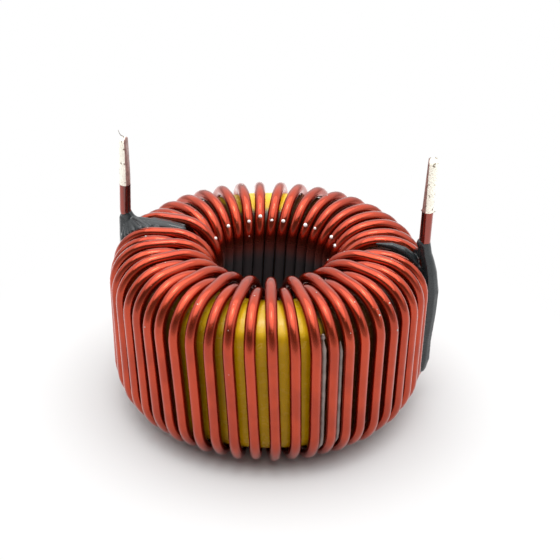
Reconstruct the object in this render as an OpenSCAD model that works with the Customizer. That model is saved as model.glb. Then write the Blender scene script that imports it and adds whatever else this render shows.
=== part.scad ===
// Toroidal inductor: a coated powder core, wound all round with one enamelled wire.
// The wire makes a full pass round the core and a second pass over the front half,
// and its two ends stand up as tinned leads, each held at its foot by black sleeving.
// The axis of the core is Z, and the coil lies on the plane Z = 0.
// Azimuth is measured from -Y, and turns from there towards +X.

/* [Core] */
// Outside diameter of the core
core_od = 26.6; // [24:0.1:30]
// Bore of the core
bore_d = 13.9; // [12:0.1:14.5]
// Height of the core
core_h = 13.7; // [10:0.1:18]
// Radius of the core's four edges
core_edge = 3; // [2.5:0.1:3.2]

/* [Wire] */
// Diameter of the bare copper
copper_d = 0.95; // [0.7:0.01:1]
// Thickness of the enamel on it
enamel = 0.03; // [0.02:0.005:0.05]
// Gap between the wire and the core
lay_gap = 0.05; // [0.03:0.01:0.15]

/* [Turns] */
// Gap between the lower and the upper layer of wire in the hole
layer_gap = 0.3; // [0.2:0.05:0.6]
// How far the upper layer rides up over the lower one at the top of the hole
ride = 0.45; // [0.2:0.05:0.8]
// How far the upper layer sags under the lower one at the bottom of the hole
sag = 0.3; // [0.2:0.05:0.8]
// Room for each front turn where the lower layer starts down the hole, in wire diameters
front_room = 1.15; // [1.15:0.01:1.4]
// Room for each back turn at the wall of the hole, in wire diameters
back_room = 1.03; // [1.03:0.01:1.6]
// How far the turns on the left lean over on the outside wall, in degrees
slant = 5.6; // [0:0.1:6]
// How far the top runs at the back pass beside the axis
top_lag = 0.8; // [0:0.1:1.2]
// How far the bottom runs pass beside the axis
bottom_skew = 0.1; // [0.1:0.1:0.6]
// Hand-wound unevenness of the turns on the top edge, in degrees
play = 0.4; // [0:0.1:0.5]
// How far the front turns crowd together and open up, in degrees
crowd = 1.3; // [0:0.1:1.5]

/* [Leads] */
// Azimuth of each lead, to the left and to the right of the front
lead_angle = 93.5; // [88:0.5:98]
// How far the leads stand in from the line of the turns on the outside wall
lead_inset = 0.3; // [0.2:0.02:0.5]
// How far the left lead leans in, in degrees
left_lean = 2.5; // [0:0.5:4]
// Gap from each lead to the turn behind it, centre to centre
lead_gap = 1.5; // [1.3:0.05:1.7]
// Height of the left lead above the winding
left_lead_h = 7.9; // [6:0.1:20]
// Height of the right lead above the winding
right_lead_h = 8.3; // [6:0.1:20]
// Height above the winding where the tinning starts
bare_from = 3.4; // [2:0.1:5]
// Diameter of the tinned leads
tin_d = 0.98; // [0.96:0.01:1.2]
// Diameter of the end of the wire in the tinning, stripped and scraped
bare_d = 0.84; // [0.7:0.01:0.86]
// Radius of the bend from the winding up into the left lead
lead_bend = 1.3; // [1:0.1:1.6]
// How far the right lead bows out where it climbs the wall
bow = 0.4; // [0.1:0.05:0.6]

/* [Sleeves] */
// Outside diameter of the black sleeving
sleeve_d = 1.26; // [1.22:0.02:1.5]
// Height of the left sleeve above the winding
left_sleeve_h = 1; // [0.8:0.1:2]
// Height of the right sleeve above the winding
right_sleeve_h = 0.6; // [0.6:0.1:2]
// Distance from the axis to where the left sleeve ends on top of the core
left_reach = 7.9; // [7.5:0.1:11]
// Distance from the axis to where the right sleeve ends on top of the core
right_reach = 9.6; // [9:0.1:11]
// Height of the lower end of the right sleeve above the resting plane
sleeve_foot = 3.6; // [3:0.1:8]
// How far the left sleeve comes down the wall, from the top of the winding
sleeve_drop = 4; // [3:0.1:6]

/* [Hidden] */

wire_d = copper_d + 2 * enamel;
wire_r = wire_d / 2;
fit = 0.02;                 // clearance of what the wire passes through
tip_wall = 0.35;            // solder over the end of the wire
step_deg = 24;              // most that the wire turns from one ring to the next
wire_sides = 8;
wire_arc = 360 / wire_sides;

// Levels: the bottom runs, the core, the top runs and the top of the winding
low_z = wire_r + sag;
core_z = low_z + wire_r + lay_gap;
high_z = core_z + core_h + lay_gap + wire_r;
top_z = high_z + wire_r;

// Distances from the axis: outside wall, lower and upper layer in the hole, leads
wall_r = core_od / 2 + lay_gap + wire_r;
hole_r = bore_d / 2 - lay_gap - wire_r;
inner_r = hole_r - wire_d - layer_gap;
lead_r = wall_r - lead_inset;

// The edge radius is limited by the core's section
core_w = (core_od - bore_d) / 2;
edge_r = min(core_edge, 0.46 * core_w, 0.46 * core_h);
bend_r = edge_r + lay_gap + wire_r;

// Turns: the wire that lies over another one, beside a lead, stands off by over_r
over_r = 0.15;
meet_r = hole_r + bend_r;
gap_deg = lead_gap / wall_r * 180 / PI;
front_deg = 2 * lead_angle + gap_deg;
back_deg = 360 - front_deg - gap_deg;
n_front = floor(front_deg * PI / 180 * meet_r / (2 * wire_d * front_room));
n_back = floor(back_deg * PI / 180 * hole_r / (wire_d * back_room));
front_pitch = front_deg / n_front;
back_pitch = back_deg / n_back;
n_lower = n_front + n_back;
turn_az = concat(
    [for (k = [0:n_front - 1]) k * front_pitch - lead_angle],
    [for (k = [0:n_back - 1]) lead_angle + gap_deg + k * back_pitch],
    [360 - lead_angle - gap_deg],
    [for (k = [0:n_front - 2]) 360 - lead_angle + (k + 0.5) * front_pitch],
    [360 + lead_angle]
);
n_turns = len(turn_az) - 1;

function pol(r, az, z) = [r * sin(az), -r * cos(az), z];
function unit(v) = v / norm(v);
function clamp01(x) = max(0, min(1, x));
function front_az(k) = (turn_az[k] + 180) % 360 - 180;

// The first and last wires and the turns beside them lie over the sleeving's glue
function stand_off(k) = (k == 0 || k == n_front || k == n_lower || k == n_turns) ? over_r : 0;

// Angle that a run turns through between the outside wall and radius r when it
// passes the axis at distance h
function swing(h, r) = asin(h / r) - asin(h / wall_r);

// Slant of turn k on the outside wall: full on the left, none on the right
slant_from = 44;            // azimuth where it starts to grow
slant_over = 76;            // angle over which it grows
slant_end = 92;             // azimuth on the left where it has gone again
slant_fade = 30;            // angle over which it goes
foot_slip = 0.8;            // the last run comes in short of the right lead
function lean(k) = k == n_turns ? -foot_slip
    : slant * clamp01((slant_from - front_az(k)) / slant_over)
        * clamp01((slant_end + front_az(k)) / slant_fade);

// Offset of the top run of turn k, least at lag_az; the second pass starts ahead
lag_az = 8.5;
start_lead = 0.6;
function top_offset(k) = k == n_lower ? -start_lead
    : top_lag * (1 - cos(turn_az[k] - lag_az)) / 2;

// Offset of the bottom run to turn k: the leaning turns are towed on further
tow = 1.7;
function bottom_offset(k) = bottom_skew + (slant > 0 ? tow * max(0, lean(k)) / slant : 0);

// Unevenness of turn k on the top edge; the golden angle never repeats
golden = 137.5;
function wobble(k) = stand_off(k) > 0 ? 0 : play * sin(golden * k);

// Shift of turn k on the outside wall: the turns open up round crowd_az and crowd
// together half a period away, less and less towards the leads
crowd_az = 4;
crowd_period = 75;
function crowding(k) =
    let (az = front_az(k))
    abs(az) < lead_angle
        ? crowd * sin((az - crowd_az) * 360 / crowd_period) * cos(az * 90 / lead_angle)
        : 0;

// Corners of turn k, each with the radius of its bend: outside top, hole top,
// hole bottom, and outside bottom under the next turn
function turn_corners(k) =
    let (
        upper = k >= n_lower,
        r = upper ? inner_r : hole_r,
        hole_top_z = high_z + (upper ? ride : 0),
        hole_low_z = low_z - (upper ? sag : 0),
        on = stand_off(k),
        next_on = stand_off(k + 1),
        top_r = k == 0 ? lead_r : wall_r + on,
        top_bend = k == 0 ? lead_bend : bend_r + on,
        hole_top = turn_az[k] + swing(top_offset(k), r),
        foot = turn_az[k + 1] + lean(k + 1),
        hole_bottom = foot - swing(bottom_offset(k + 1), r)
    ) [
        [pol(top_r, turn_az[k] + wobble(k) + crowding(k), high_z + on), top_bend],
        [pol(r, hole_top, hole_top_z + on), bend_r],
        [pol(r, hole_bottom, hole_low_z), bend_r],
        [pol(wall_r + next_on, foot + crowding(k + 1), low_z), bend_r]
    ];

// Points of the leads: the left one leans in from its bend upwards
left_az = turn_az[0];
right_az = turn_az[n_turns];
bare_z = top_z + bare_from;
function lead_point(az, z) =
    pol(lead_r - (az == left_az ? (z - high_z - over_r) * tan(left_lean) : 0), az, z);

// The right lead climbs the wall, bows out and comes back in over the top edge
bow_z = 0.62 * top_z;
bow_bend = 10;
lead_climb = [
    [pol(wall_r + over_r + bow, right_az, bow_z), bow_bend],
    [pol(lead_r, right_az, top_z), bow_bend / 2]
];

// The whole run of the wire, from one end of the enamel to the other
route = concat(
    [[lead_point(left_az, bare_z), 0]],
    [for (k = [0:n_turns - 1]) each turn_corners(k)],
    lead_climb,
    [[lead_point(right_az, bare_z), 0]]
);

// Place in the route of corner c of turn k
function corner_at(k, c) = 1 + 4 * k + c;
function stretch(first, last) = [for (i = [first:last]) route[i]];

// Rings [centre, direction, radius, way in, mitre] round a bend: they stand just
// outside the arc, so that the sides between them are tangent to it, and they are
// longer by the mitre along the way in, so that the wire keeps its section
function bend_rings(before, corner, after, radius) =
    let (
        a = unit(corner[0] - before[0]),
        b = unit(after[0] - corner[0]),
        angle = acos(a * b),
        n = ceil(angle / step_deg),
        inward = unit(b - a * (a * b)),
        start = corner[0] - a * corner[1] * tan(angle / 2),
        centre = start + inward * corner[1],
        mitre = 1 / cos(angle / 2 / n)
    )
    [for (j = [0:n - 1])
        let (
            f = angle * (j + 0.5) / n,
            way_in = inward * cos(f) - a * sin(f)
        )
        [centre - way_in * corner[1] * mitre, a * cos(f) + inward * sin(f), radius, way_in, mitre]];

function end_ring(p, ahead, radius) = [p, unit(ahead), radius, [0, 0, 0], 1];

function run_rings(run, radius) =
    let (last = len(run) - 1)
    concat(
        [end_ring(run[0][0], run[1][0] - run[0][0], radius)],
        [for (i = [1:last - 1]) each bend_rings(run[i - 1], run[i], run[i + 1], radius)],
        [end_ring(run[last][0], run[last][0] - run[last - 1][0], radius)]
    );

// Corners of one ring; its first side vector points along the azimuth
function ring_points(ring) =
    let (
        p = ring[0],
        t = ring[1],
        along = unit([-p[1], p[0], 0]),
        side = unit(along - t * (along * t)),
        up = cross(t, side)
    )
    [for (s = [0:wire_sides - 1])
        let (out = ring[2] * (side * cos(s * wire_arc) + up * sin(s * wire_arc)))
        p + out + ring[3] * (out * ring[3]) * (ring[4] - 1)];

// Sweep of a list of rings to one closed solid
module sweep(rings) {
    n = wire_sides;
    last = n * (len(rings) - 1);
    sides = [for (i = [0:len(rings) - 2], s = [0:n - 1])
        let (a = i * n + s, b = i * n + (s + 1) % n)
        each [[a, b + n, b], [a, a + n, b + n]]];
    ends = [[for (s = [0:n - 1]) s], [for (s = [0:n - 1]) last + n - 1 - s]];
    polyhedron(points = [for (ring = rings) each ring_points(ring)], faces = concat(sides, ends));
}

// The bare end of the wire inside the solder, from the enamel to the given height
function bare_rings(az, end_z, down) =
    let (
        end = lead_point(az, end_z - tip_wall),
        root = lead_point(az, bare_z),
        ahead = (end - root) * down
    )
    [for (p = down < 0 ? [end, root] : [root, end]) end_ring(p, ahead, bare_d / 2)];

winding_rings = concat(
    bare_rings(left_az, top_z + left_lead_h, -1),
    run_rings(route, wire_r),
    bare_rings(right_az, top_z + right_lead_h, 1)
);

// The coil stands on the lowest of its turns
lowest_z = min([for (ring = winding_rings) each [for (p = ring_points(ring)) p[2]]]);
module stand() {
    translate([0, 0, -lowest_z])
        children();
}

module core() {
    mid_r = (core_od + bore_d) / 4;
    flat_w = core_w - 2 * edge_r;
    flat_h = core_h - 2 * edge_r;
    color([0.86, 0.7, 0.12])
    translate([0, 0, core_z + core_h / 2])
    rotate_extrude($fn = 96)
    translate([mid_r, 0])
    union() {
        square([core_w, flat_h], center = true);
        square([flat_w, core_h], center = true);
        for (x = [-1, 1], y = [-1, 1])
            translate([x * flat_w / 2, y * flat_h / 2])
                circle(r = edge_r, $fn = 64);
    }
}

module winding() {
    color([0.7, 0.32, 0.22])
    sweep(winding_rings);
}

// Solder on a lead: a cap over the bare end, round at the tip
module solder(az, lead_h, lean) {
    length = (lead_h - bare_from) / cos(lean);
    color([0.85, 0.83, 0.78])
    translate(lead_point(az, bare_z))
    rotate([0, 0, az])
    rotate([-lean, 0, 0])
    difference() {
        union() {
            cylinder(d = tin_d, h = length - tin_d / 2, $fn = 48);
            translate([0, 0, length - tin_d / 2])
                sphere(d = tin_d, $fn = 48);
        }
        translate([0, 0, -fit])
            cylinder(d = bare_d + 2 * fit, h = length - tip_wall + 2 * fit, $fn = 48);
    }
}

module solder_left() {
    solder(left_az, left_lead_h, left_lean);
}

module solder_right() {
    solder(right_az, right_lead_h, 0);
}

// Sleeving is shifted outwards from the wire that it holds, to clear the core
sleeve_off = max(0, sleeve_d / 2 - wire_r - lay_gap - over_r + fit);
function on_wall(p) = let (r = norm([p[0], p[1]])) [p[0], p[1], 0] * (1 + sleeve_off / r) + [0, 0, p[2]];
function on_top(p) = p + [0, 0, sleeve_off];

// Web between the two wires that a sleeve holds together
web_d = 0.8 * sleeve_d;

// Point at distance r from the axis on the run between two corners
function at_radius(a, b, r) =
    let (ra = norm([a[0], a[1]]), rb = norm([b[0], b[1]]), t = (ra - r) / (ra - rb))
    a * (1 - t) + b * t;

// Point at height z between two corners
function at_height(a, b, z) = a + (b - a) * (z - a[2]) / (b[2] - a[2]);

// Ring centres of a bend, moved off the core as the bend turns from wall to top
function bend_sleeve(first) =
    let (rings = bend_rings(route[first - 1], route[first], route[first + 1], 0), n = len(rings))
    [for (j = [0:n - 1]) let (f = (j + 0.5) / n, p = rings[j][0])
        on_wall(p) * (1 - f) + on_top(p) * f];

// Points along the top run from corner i, as far in as the reach
function strip(i, reach) = concat(
    [on_top(at_radius(route[i][0], route[i + 1][0], max(reach, meet_r)))],
    [for (ring = bend_rings(route[i], route[i + 1], route[i + 2], 0))
        if (norm([ring[0][0], ring[0][1]]) > reach) on_top(ring[0])]
);

// One rounded body round all of the points, and a row of them from point to point
module blend(points, thickness) {
    hull()
        for (p = points)
            translate(p)
                sphere(d = thickness, $fn = 12);
}

module chain(points) {
    for (i = [0:len(points) - 2])
        blend([points[i], points[i + 1]], sleeve_d);
}

// The wire of the corners first to last, with clearance, to be cut from sleeving
module wire_way(first, last) {
    sweep(run_rings(stretch(first, last), wire_r + fit));
}

module sleeve_left() {
    wall = corner_at(n_lower - 1, 3);
    lead_top = lead_point(left_az, top_z + left_sleeve_h - sleeve_d / 2);
    bend = [for (ring = bend_rings(route[0], route[1], route[2], 0)) on_top(ring[0])];
    side = bend_sleeve(wall + 1);
    drop = on_wall(at_height(route[wall][0], route[wall + 1][0], top_z - sleeve_drop));
    color([0.16, 0.18, 0.18])
    difference() {
        union() {
            chain(concat([lead_top], bend, strip(1, left_reach)));
            chain(concat([drop], side));
            blend([bend[0], bend[1], side[1], side[2]], web_d);
            blend([bend[0], side[0], side[1], drop], web_d);
        }
        wire_way(0, 3);
        wire_way(wall, wall + 3);
    }
}

module sleeve_right() {
    wall = corner_at(n_front - 1, 3);
    foot = corner_at(n_turns - 1, 3);
    lead_top = lead_point(right_az, top_z + right_sleeve_h - sleeve_d / 2);
    climb = [for (i = [foot + 1:foot + 2])
        each [for (ring = bend_rings(route[i - 1], route[i], route[i + 1], 0)) ring[0]]];
    lead_foot = on_wall(at_height(route[foot][0], route[foot + 1][0], sleeve_foot));
    side_foot = on_wall(at_height(route[wall][0], route[wall + 1][0], sleeve_foot));
    side = bend_sleeve(wall + 1);
    color([0.16, 0.18, 0.18])
    difference() {
        union() {
            chain(concat([lead_foot], [for (p = climb) on_wall(p)], [lead_top]));
            chain(concat([side_foot], side, strip(wall + 1, right_reach)));
            blend([lead_foot, side_foot, on_wall(climb[0]), side[0]], web_d);
            blend([on_wall(climb[0]), side[0], side[1], climb[1]], web_d);
        }
        wire_way(foot - 1, foot + 3);
        wire_way(wall - 1, wall + 3);
    }
}

stand() core();
stand() winding();
stand() sleeve_left();
stand() sleeve_right();
stand() solder_left();
stand() solder_right();
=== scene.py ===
"""Toroidal inductor: the enamelled winding, coated core, sleeving and tinned leads.

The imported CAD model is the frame. Each operator makes one piece or one group of like
pieces at its place in that frame, in metres, with its finish. Azimuth is measured from
-Y, and turns from there towards +X, as in the CAD source.
"""

import math
import random

import bmesh
import bpy
from mathutils import Matrix, Vector, noise


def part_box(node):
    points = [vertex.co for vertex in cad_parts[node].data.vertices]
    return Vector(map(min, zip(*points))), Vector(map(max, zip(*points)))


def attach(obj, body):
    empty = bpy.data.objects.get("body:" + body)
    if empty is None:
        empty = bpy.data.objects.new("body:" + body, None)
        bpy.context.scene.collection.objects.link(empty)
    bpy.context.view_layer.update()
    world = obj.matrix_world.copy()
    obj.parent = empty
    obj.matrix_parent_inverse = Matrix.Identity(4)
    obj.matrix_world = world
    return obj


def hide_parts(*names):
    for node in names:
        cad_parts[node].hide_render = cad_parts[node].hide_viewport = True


bl_info = {
    "name": "Toroidal Inductor",
    "version": (1, 0, 0),
    "blender": (4, 5, 0),
    "location": "View3D > Sidebar > Inductor",
    "description": "Finishes a wound toroidal inductor and sets up its studio",
    "category": "Object",
}

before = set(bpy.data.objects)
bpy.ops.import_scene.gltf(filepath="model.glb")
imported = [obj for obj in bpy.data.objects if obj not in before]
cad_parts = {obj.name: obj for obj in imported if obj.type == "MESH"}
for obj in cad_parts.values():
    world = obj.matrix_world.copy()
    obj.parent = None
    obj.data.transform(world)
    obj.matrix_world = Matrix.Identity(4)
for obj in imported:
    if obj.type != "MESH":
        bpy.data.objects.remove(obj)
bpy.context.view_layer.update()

MM = 0.001
TINY = 1e-6  # a margin for rounding
BODY = "root"
GOLDEN_DEG = 137.5  # successive multiples never fall together
CORE_LOW, CORE_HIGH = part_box("core")
TIN_LOW = {side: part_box(f"solder_{side}")[0] for side in ("left", "right")}
TIN_HIGH = {side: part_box(f"solder_{side}")[1] for side in ("left", "right")}


# ---- settings


def number(name, description, default, **kind):
    return bpy.props.FloatProperty(name=name, description=description, default=default, **kind)


def whole(name, description, default):
    return bpy.props.IntProperty(name=name, description=description, default=default)


def length(name, description, mm):
    """A length in metres, with its default given in millimetres"""
    return number(name, description, mm * MM, unit="LENGTH", precision=5)


def angle(name, description, degrees):
    return number(name, description, math.radians(degrees), unit="ROTATION")


def colour(name, description, default):
    return bpy.props.FloatVectorProperty(
        name=name, description=description, default=default, subtype="COLOR", size=3, min=0, max=1
    )


class InductorWinding(bpy.types.PropertyGroup):
    """Sizes of the wire and its lay, as in the CAD source"""

    wire_d: length("Wire diameter", "Diameter over the enamel", 1.01)
    lay_gap: length("Lay gap", "Gap between the wire and the core", 0.05)
    bore_d: length("Bore", "Bore of the core", 13.9)
    edge: length("Edge radius", "Radius of the core's four edges", 3.0)
    layer_gap: length("Layer gap", "Gap between the two layers in the hole", 0.3)
    ride: length("Ride", "How far the upper layer rides over the lower at the top", 0.45)
    sag: length("Sag", "How far the upper layer sags under the lower below", 0.3)
    front_turns: whole("Front turns", "Turns of the first pass in front", 14)
    back_turns: whole("Back turns", "Turns of the first pass at the back", 17)
    slant: angle("Slant", "Lean of the turns on the left", 5.6)
    top_lag: length("Top lag", "Offset of the top runs at the back from the axis", 0.8)
    bottom_skew: length("Bottom skew", "Offset of the bottom runs from the axis", 0.1)
    play: angle("Play", "Hand-wound unevenness on the top edge", 0.4)
    crowd: angle("Crowding", "How far the front turns crowd together and open up", 1.3)
    lead_angle: angle("Lead angle", "Azimuth of each lead from the front", 93.5)
    lead_gap: length("Lead gap", "Gap from a lead to the turn behind it", 1.5)
    lead_inset: length("Lead inset", "How far the leads stand in from the turns", 0.3)
    left_lean: angle("Left lean", "How far the left lead leans in", 2.5)
    lead_bend: length("Lead bend", "Bend from the winding up into the left lead", 1.3)
    over: length("Stand-off", "Height of the wires that lie over the sleeving", 0.15)
    bow: length("Bow", "How far the right lead bows out on the wall", 0.4)
    sides: whole("Sides", "Sides of the wire", 20)
    bend_steps: whole("Bend steps", "Rings round a bend", 10)


class InductorFinish(bpy.types.PropertyGroup):
    """Colours of the finishes, and the varnish left by the dip"""

    enamel: colour("Enamel", "Copper seen through its enamel", (0.385, 0.038, 0.0088))
    enamel_deep: colour("Deep enamel", "Enamel where it lies thicker", (0.305, 0.027, 0.0058))
    # painted shade: the enamel's colour deep in the hole and on the leads' inner sides, where
    # shade falls
    painted_shade: colour("Dark enamel", "In the hole and on the leads' inner sides", (0.046, 0.039, 0.040))
    coating: colour("Coating", "Coating of the core", (0.47, 0.265, 0.0))
    # painted highlight on the core's upper edge; on the bare places at the back, the coat's own
    # clean colour
    clean_and_highlit: colour("Clean coating", "On the upper edge and bare places", (0.95, 0.60, 0.012))
    # the coat darkened to brown on the sides and over most of the top
    darker_coat: colour("Stained coating", "Under thick brown varnish", (0.055, 0.022, 0.006))
    # painted shade: the darker, duller colour of the leads above the coil
    lead: colour("Lead enamel", "Enamel dulled by the soldering", (0.22, 0.055, 0.045))
    sleeving: colour("Sleeving", "Black sleeving and its glue", (0.010, 0.0135, 0.0155))
    tin: colour("Tin", "Tinned copper", (0.97, 0.93, 0.81))
    # the brown-pink strip on the coil's side of each tin
    scraped: colour("Scraped copper", "Scraped bare beside the tin", (0.34, 0.19, 0.165))
    flux: colour("Flux", "Burnt flux in the tin's pits and on its hair", (0.22, 0.165, 0.115))
    clear: colour("Clear varnish", "Small beads on the turns", (0.42, 0.34, 0.31))
    run: colour("Varnish run", "Runs between two pairs of turns", (0.20, 0.15, 0.13))
    # painted highlight: near-white drops that stand in for glints where the turns bend into the
    # hole
    glint: colour("Bright drop", "Drops that catch the light", (1.0, 0.96, 0.94))
    backdrop: colour("Backdrop", "Floor as the coil sees it", (0.68, 0.68, 0.68))
    bead_r: length("Bead radius", "Radius that the small beads are parts of", 0.13)
    bead_count: whole("Beads", "Small beads scattered on the top and the upper wall", 45)
    seed: whole("Seed", "Seed of the scatter", 7)


class InductorStage(bpy.types.PropertyGroup):
    """Camera and lights"""

    camera_azimuth: angle("Camera azimuth", "Azimuth that the camera stands at", 9.5)
    camera_elevation: angle("Camera elevation", "Angle of the camera above the floor", 32.0)
    camera_roll: angle("Camera roll", "Lean of the camera", 1.0)
    camera_distance: length("Camera distance", "From the middle of the coil", 105)
    lens: number("Lens", "Focal length", 73.1, unit="CAMERA")
    shift_x: number("Shift X", "Shift of the frame to the right", 0.0196, precision=4)
    shift_y: number("Shift Y", "Shift of the frame upwards", 0.059, precision=4)
    softbox: number("Softbox", "Radiance of the overhead softbox", 1.9)
    core: number("Softbox core", "Radiance of its brighter middle", 7.0)
    glint: number("Glint lamp", "Power of the small lamp", 0.012, unit="POWER", precision=4)
    room: number("Room", "Strength of the room's light", 1.85)


# ---- the lay of the wire


def polar(radius, azimuth, height):
    return Vector((radius * math.sin(azimuth), -radius * math.cos(azimuth), height))


def clamp(x):
    return max(0.0, min(1.0, x))


class Lay:
    """The rule of the winding: levels, radii and the corners of every turn"""

    # going left, the lean begins at SLANT_FROM and grows over SLANT_OVER; it fades
    # over SLANT_FADE and is gone at -SLANT_END
    SLANT_FROM = math.radians(44)
    SLANT_OVER = math.radians(76)
    SLANT_END = math.radians(92)
    SLANT_FADE = math.radians(30)
    FOOT_SLIP = math.radians(0.8)
    LAG_AZIMUTH = math.radians(8.5)
    START_LEAD = 0.6 * MM
    TOW = 1.7 * MM
    CROWD_AZIMUTH = math.radians(4)
    CROWD_PERIOD = math.radians(75)
    BOW_HEIGHT = 0.62  # share of the height at which the right lead bows out
    BOW_BEND = 10 * MM
    COVER = 0.05 * MM  # how far the tinning reaches over the wire's ends

    def __init__(self, s):
        self.s = s
        r = s.wire_d / 2
        self.low = CORE_LOW.z - s.lay_gap - r
        self.high = CORE_HIGH.z + s.lay_gap + r
        self.top = self.high + r
        self.wall = CORE_HIGH.x + s.lay_gap + r
        self.hole = s.bore_d / 2 - s.lay_gap - r
        self.inner = self.hole - s.wire_d - s.layer_gap
        self.lead = self.wall - s.lead_inset
        self.bend = s.edge + s.lay_gap + r
        full = 2 * math.pi
        gap = s.lead_gap / self.wall
        front = 2 * s.lead_angle + gap
        back = full - front - gap
        self.front_pitch = front / s.front_turns
        back_pitch = back / s.back_turns
        self.lower = s.front_turns + s.back_turns
        self.az = [k * self.front_pitch - s.lead_angle for k in range(s.front_turns)]
        self.az += [s.lead_angle + gap + k * back_pitch for k in range(s.back_turns)]
        self.az += [full - s.lead_angle - gap]
        self.az += [
            full - s.lead_angle + (k + 0.5) * self.front_pitch for k in range(s.front_turns - 1)
        ]
        self.az += [full + s.lead_angle]
        self.turns = len(self.az) - 1
        self.leads = {"left": self.az[0], "right": self.az[self.turns]}

    def off(self, k):
        beside_a_lead = k in (0, self.s.front_turns, self.lower, self.turns)
        return self.s.over if beside_a_lead else 0.0

    def swing(self, offset, radius):
        return math.asin(offset / radius) - math.asin(offset / self.wall)

    def front_azimuth(self, k):
        return (self.az[k] + math.pi) % (2 * math.pi) - math.pi

    def lean(self, k):
        if k == self.turns:
            return -self.FOOT_SLIP
        a = self.front_azimuth(k)
        grow = clamp((self.SLANT_FROM - a) / self.SLANT_OVER)
        fade = clamp((self.SLANT_END + a) / self.SLANT_FADE)
        return self.s.slant * grow * fade

    def top_offset(self, k):
        if k == self.lower:
            return -self.START_LEAD
        return self.s.top_lag * (1 - math.cos(self.az[k] - self.LAG_AZIMUTH)) / 2

    def bottom_offset(self, k):
        return self.s.bottom_skew + self.TOW * max(0.0, self.lean(k)) / self.s.slant

    def wobble(self, k):
        return 0.0 if self.off(k) else self.s.play * math.sin(math.radians(GOLDEN_DEG * k))

    def crowding(self, k):
        a = self.front_azimuth(k)
        if abs(a) >= self.s.lead_angle - TINY:
            return 0.0
        wave = math.sin((a - self.CROWD_AZIMUTH) * 2 * math.pi / self.CROWD_PERIOD)
        return self.s.crowd * wave * math.cos(a * math.pi / 2 / self.s.lead_angle)

    def lead_point(self, side, height):
        """A point of a lead's axis; the left one leans in from its bend upwards"""
        lean = self.s.left_lean if side == "left" else 0.0
        inset = (height - self.high - self.s.over) * math.tan(lean)
        return polar(self.lead - inset, self.leads[side], height)

    def wire_end(self, side):
        """The end of the wire in a lead, just inside its tinning"""
        return self.lead_point(side, TIN_LOW[side].z + self.COVER), 0.0

    def corners(self, k):
        """Outside top, hole top, hole bottom and outside bottom, each with its bend"""
        upper = k >= self.lower
        radius = self.inner if upper else self.hole
        hole_top_z = self.high + (self.s.ride if upper else 0.0)
        hole_low_z = self.low - (self.s.sag if upper else 0.0)
        on, on_next = self.off(k), self.off(k + 1)
        first = k == 0
        foot = self.az[k + 1] + self.lean(k + 1)
        wall_top = self.az[k] + self.wobble(k) + self.crowding(k)
        hole_top = self.az[k] + self.swing(self.top_offset(k), radius)
        hole_low = foot - self.swing(self.bottom_offset(k + 1), radius)
        top_radius = self.lead if first else self.wall + on
        top_bend = self.s.lead_bend if first else self.bend + on
        return [
            (polar(top_radius, wall_top, self.high + on), top_bend),
            (polar(radius, hole_top, hole_top_z + on), self.bend),
            (polar(radius, hole_low, hole_low_z), self.bend),
            (polar(self.wall + on_next, foot + self.crowding(k + 1), self.low), self.bend),
        ]

    def corner_at(self, k, corner):
        """Place in the route of a corner of turn k"""
        return 1 + 4 * k + corner

    def route(self):
        """All the corners, from just inside the left tinning to just inside the right"""
        s = self.s
        route = [self.wire_end("left")]
        for k in range(self.turns):
            route += self.corners(k)
        ground = self.low - s.wire_d / 2 - s.sag
        bow_z = ground + self.BOW_HEIGHT * (self.top - ground)
        bowed = polar(self.wall + s.over + s.bow, self.leads["right"], bow_z)
        route += [(bowed, self.BOW_BEND), (self.lead_point("right", self.top), self.BOW_BEND / 2)]
        return [*route, self.wire_end("right")]


def rounded(route, steps):
    """Points along a route with each corner rounded to its bend"""
    points = [route[0][0]]
    for before, corner, after in zip(route, route[1:], route[2:]):
        a = (corner[0] - before[0]).normalized()
        b = (after[0] - corner[0]).normalized()
        turn = a.angle(b)
        inward = (b - a * a.dot(b)).normalized()
        start = corner[0] - a * corner[1] * math.tan(turn / 2)
        centre = start + inward * corner[1]
        count = max(2, round(steps * turn / (math.pi / 2)))
        for j in range(count + 1):
            f = turn * j / count
            points.append(centre + corner[1] * (a * math.sin(f) - inward * math.cos(f)))
    points.append(route[-1][0])
    return points


def at_radius(a, b, radius):
    """The point at a distance from the axis on the run between two corners"""
    ra, rb = a.xy.length, b.xy.length
    return a.lerp(b, (ra - radius) / (ra - rb))


def at_height(a, b, height):
    return a.lerp(b, (height - a.z) / (b.z - a.z))


def even(count, low, high):
    """Evenly spaced values from low to high"""
    return [low + (high - low) * i / (count - 1) for i in range(count)]


def run_from(route, i):
    """The two corners at the ends of a straight run of the route"""
    return route[i][0], route[i + 1][0]


def outward(p):
    """The level direction from the axis to a point"""
    return Vector((p.x, p.y, 0)).normalized()


def square(a, b, lean):
    """The direction square to a wire from a to b that comes nearest to lean"""
    along = (b - a).normalized()
    return (lean - along * lean.dot(along)).normalized()


def on_path(path, height):
    """The first point of a path at a height, if it gets there"""
    for a, b in zip(path, path[1:]):
        if a.z <= height <= b.z and b.z > a.z:
            return at_height(a, b, height)
    return None


# ---- objects and nodes


def placed(name, data):
    """A new object in the scene"""
    made = bpy.data.objects.new(name, data)
    bpy.context.scene.collection.objects.link(made)
    return made


def baked(obj, name):
    """A plain mesh object of what obj's modifiers make, without them"""
    bpy.context.view_layer.update()
    graph = bpy.context.evaluated_depsgraph_get()
    mesh = bpy.data.meshes.new_from_object(
        obj.evaluated_get(graph), preserve_all_data_layers=True, depsgraph=graph
    )
    old = obj.data
    bpy.data.objects.remove(obj)
    if old.users == 0:
        bpy.data.meshes.remove(old)
    mesh.name = name
    return placed(name, mesh)


def mesh_object(name, points, edges=(), faces=()):
    mesh = bpy.data.meshes.new(name)
    mesh.from_pydata([tuple(p) for p in points], list(edges), list(faces))
    mesh.update()
    return placed(name, mesh)


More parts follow.
